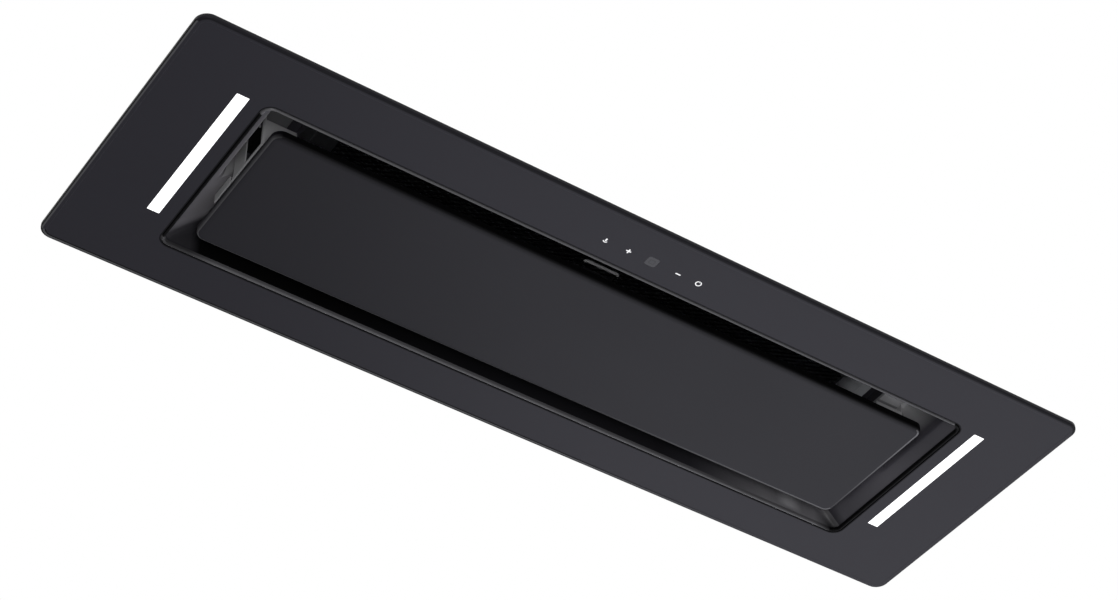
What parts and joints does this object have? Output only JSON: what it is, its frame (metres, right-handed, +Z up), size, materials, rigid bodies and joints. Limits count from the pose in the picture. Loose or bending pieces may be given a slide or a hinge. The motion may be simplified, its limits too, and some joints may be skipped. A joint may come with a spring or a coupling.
{
  "type": "undermount range hood",
  "caption": "Undermount range hood, dark grey, with a hinged suction panel, side lights, touch controls, grease filter, twin blower and rear duct collar.",
  "frame": {"origin": "centre of the four fixing holes, on the mounting plane where the flange meets the cabinet", "axes": "+X runs along the hood to the right as seen from the control side, +Y points to the back, +Z points up into the cabinet; the face looks down"},
  "size_m": [0.86, 0.298, 0.1964],
  "materials": {
    "charcoal_paint": "satin",
    "tray_lacquer": "satin, a little lighter than the face",
    "zinc_steel": "galvanised, dull",
    "bright_steel": "bright zinc plate",
    "grey_steel": "grey primer, dull",
    "aluminium": "rolled, satin",
    "filter_mesh": "layered expanded mesh, dark in the recess",
    "black_plastic": "moulded, fine texture",
    "grey_plastic": "moulded",
    "white_plastic": "moulded",
    "rubber": "soft, dull",
    "light_diffuser": "opal, lit",
    "circuit_board": "solder mask",
    "white_print": "printed, backlit",
    "display_glass": "tinted, smooth"
  },
  "bodies": {
    "hood": {"face_plate": "charcoal_paint", "recess_tray": "tray_lacquer", "mounting_flange": "zinc_steel", "low_body": "zinc_steel", "plenum_housing": "zinc_steel", "plenum_floor": "zinc_steel", "hinge_brackets": "zinc_steel", "blower_cover": "zinc_steel", "motor_plates": "zinc_steel", "capacitor_clip": "zinc_steel", "discharge_collar": "zinc_steel", "hinge_pins": "bright_steel", "hinge_screws": "bright_steel", "tray_screws": "bright_steel", "body_screws": "bright_steel", "shaft_bearings": "bright_steel", "motor_body": "bright_steel", "damper_rod": "bright_steel", "catch_bracket_left": "grey_steel", "catch_bracket_right": "grey_steel", "filter_frame": "aluminium", "light_channel_left": "aluminium", "light_channel_right": "aluminium", "filter_mesh": "filter_mesh", "catch_magnets": "black_plastic", "handle_plate": "black_plastic", "touch_cover": "black_plastic", "scroll_left": "black_plastic", "scroll_right": "black_plastic", "inlet_rings": "black_plastic", "mains_gland": "black_plastic", "driver_lead": "black_plastic", "lead_clips": "black_plastic", "control_box": "grey_plastic", "control_lid": "grey_plastic", "terminal_block": "white_plastic", "light_driver": "white_plastic", "capacitor": "white_plastic", "motor_isolators": "rubber", "light_diffuser_left": "light_diffuser", "light_diffuser_right": "light_diffuser", "light_board_left": "circuit_board", "light_board_right": "circuit_board", "touch_board": "circuit_board", "control_board": "circuit_board", "touch_symbols": "white_print", "display_window": "display_glass"},
    "suction_door": {"suction_panel": "charcoal_paint", "panel_backing": "zinc_steel", "hinge_arms": "zinc_steel", "strike_plates": "bright_steel"},
    "fan": {"impeller_left": "black_plastic", "impeller_right": "black_plastic", "fan_shaft": "bright_steel"},
    "damper": {"damper_flap": "aluminium"},
    "handle": {"handle_bail": "grey_steel"},
    "latch": {"filter_latch": "black_plastic"}
  },
  "joints": [
    {"name": "panel_hinge", "type": "hinge", "parent": "hood", "child": "suction_door", "pos_m": [0, 0.073, 0.0125], "axis": [1, 0, 0], "range_deg": [0, 90]},
    {"name": "fan_spin", "type": "hinge", "parent": "hood", "child": "fan", "pos_m": [0, 0.06, 0.117], "axis": [1, 0, 0], "continuous": true},
    {"name": "damper_swing", "type": "hinge", "parent": "hood", "child": "damper", "pos_m": [0, 0.138, 0.18175], "axis": [1, 0, 0], "range_deg": [0, 80]},
    {"name": "handle_swing", "type": "hinge", "parent": "hood", "child": "handle", "pos_m": [0, -0.014, 0.0456], "axis": [1, 0, 0], "range_deg": [0, 90]},
    {"name": "latch_slide", "type": "slide", "parent": "hood", "child": "latch", "axis": [0, 1, 0], "range_m": [0, 0.004]}
  ]
}
